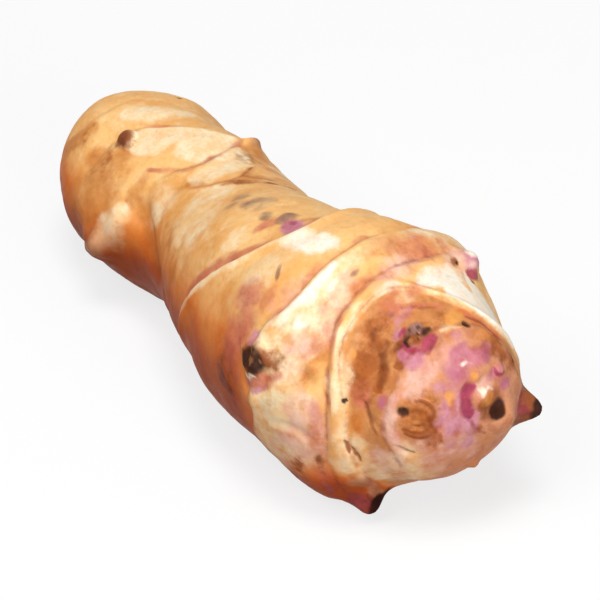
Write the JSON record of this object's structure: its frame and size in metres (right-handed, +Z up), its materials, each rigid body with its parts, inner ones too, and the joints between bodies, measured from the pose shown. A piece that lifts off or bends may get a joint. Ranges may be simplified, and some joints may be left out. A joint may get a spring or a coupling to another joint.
{
  "type": "jerusalem artichoke tuber",
  "caption": "Knobbly edible root tuber lying on its side, with a bent tapering body, leaf-scar rings, small eyes and a blunt growing tip.",
  "frame": {"origin": "centre of the bottom of the bounding box, on the surface that the tuber rests on", "axes": "+X along the tuber from the stolon scar to the growing tip, +Z up from the resting surface, +Y to the left looking towards the tip"},
  "size_m": [0.1178, 0.0418, 0.0399],
  "materials": {
    "skin": "thin moist tan-brown tuber skin with cream bands past the rings and pink to magenta at the tip and the eyes, soft sheen"
  },
  "bodies": {
    "root": {"tuber": "skin"}
  },
  "joints": []
}
